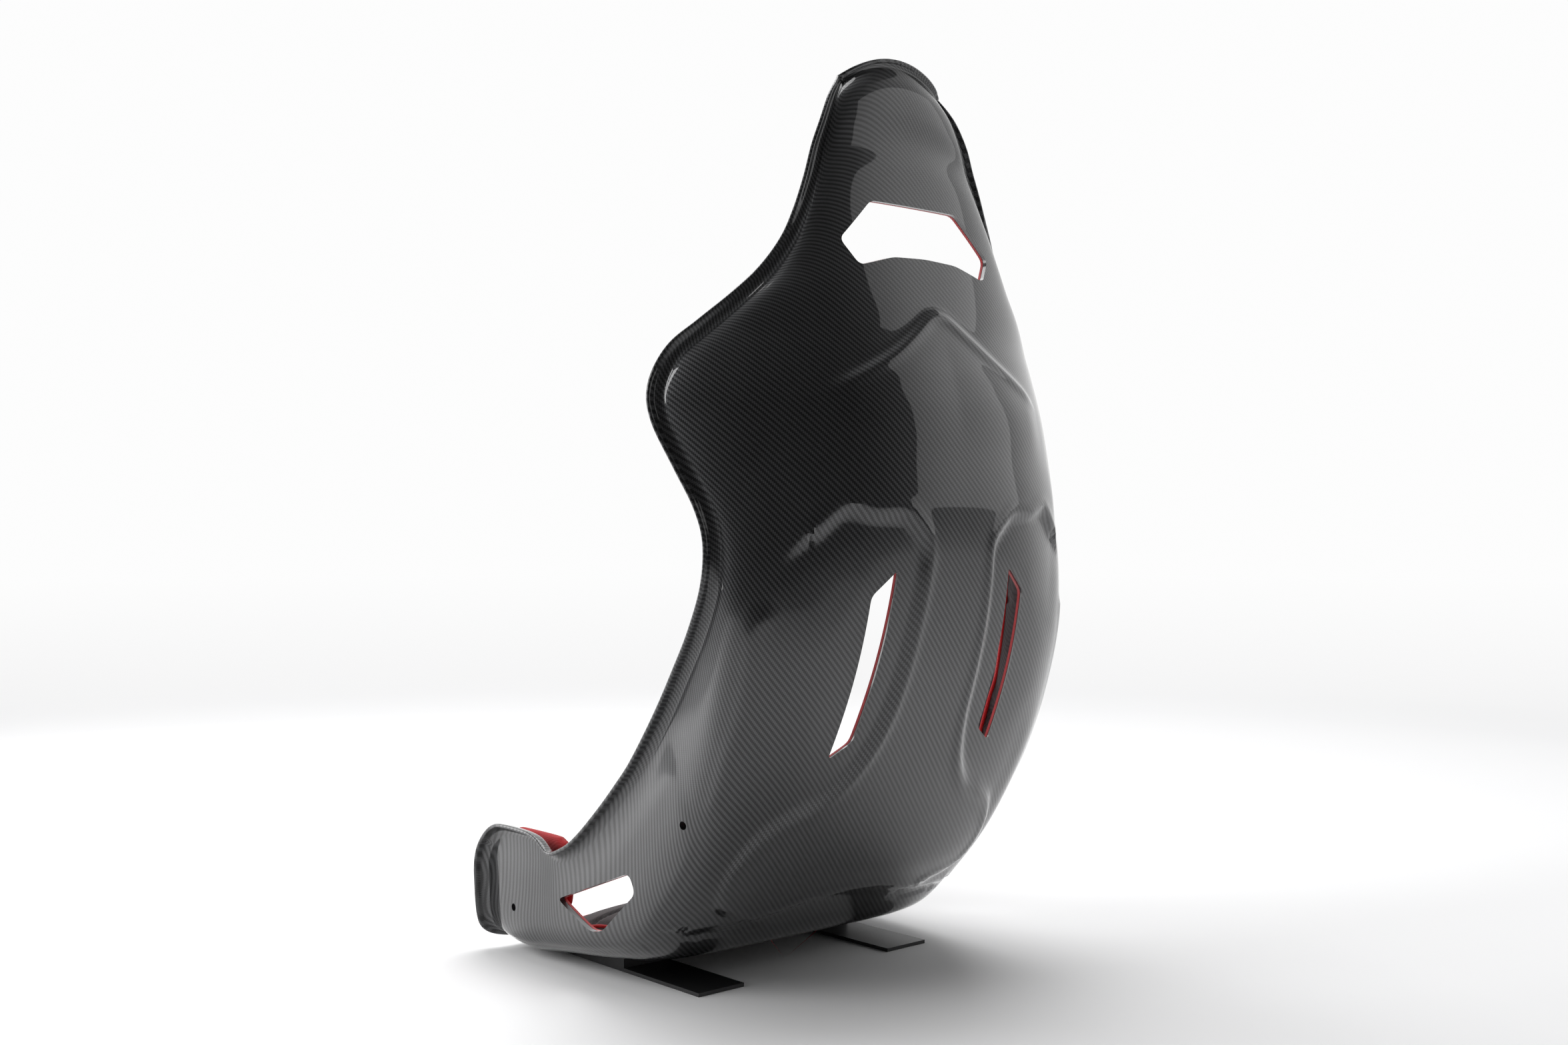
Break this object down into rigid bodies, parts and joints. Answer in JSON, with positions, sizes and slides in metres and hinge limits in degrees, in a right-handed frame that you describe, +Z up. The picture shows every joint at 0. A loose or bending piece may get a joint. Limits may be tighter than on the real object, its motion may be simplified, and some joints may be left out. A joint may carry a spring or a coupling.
{
  "type": "racing seat",
  "caption": "Fixed-back carbon bucket racing seat: one moulded shell with rolled rim, harness slot, vent slots, flank openings, side-mount nut plates, liners and foam pads.",
  "frame": {"origin": "centre of the seat's footprint box, on the floor", "axes": "+Z up, the occupant faces -Y, the occupant's left is +X"},
  "size_m": [0.5582, 0.5308, 0.9539],
  "materials": {
    "carbon": "twill carbon under clear coat",
    "red_felt": "thin felt liner",
    "grey_cloth": "woven seat cloth over foam",
    "red_cloth": "woven seat cloth over foam",
    "black_steel": "black powder coat",
    "zinc": "zinc plate"
  },
  "bodies": {
    "root": {"shell": "carbon", "liner_pan": "red_felt", "liner_back": "red_felt", "liner_head": "red_felt", "liner_wing_left": "red_felt", "liner_wing_right": "red_felt", "seat_cushion": "grey_cloth", "lumbar_cushion": "grey_cloth", "back_cushion": "grey_cloth", "head_cushion": "grey_cloth", "thigh_bolster_left": "red_cloth", "thigh_bolster_right": "red_cloth", "hip_bolster_left": "grey_cloth", "hip_bolster_right": "grey_cloth", "shoulder_pad_left": "grey_cloth", "shoulder_pad_right": "grey_cloth", "base_rail_left": "black_steel", "base_rail_right": "black_steel", "nut_plate_front_left": "zinc", "nut_plate_rear_left": "zinc", "nut_plate_front_right": "zinc", "nut_plate_rear_right": "zinc"}
  },
  "joints": []
}
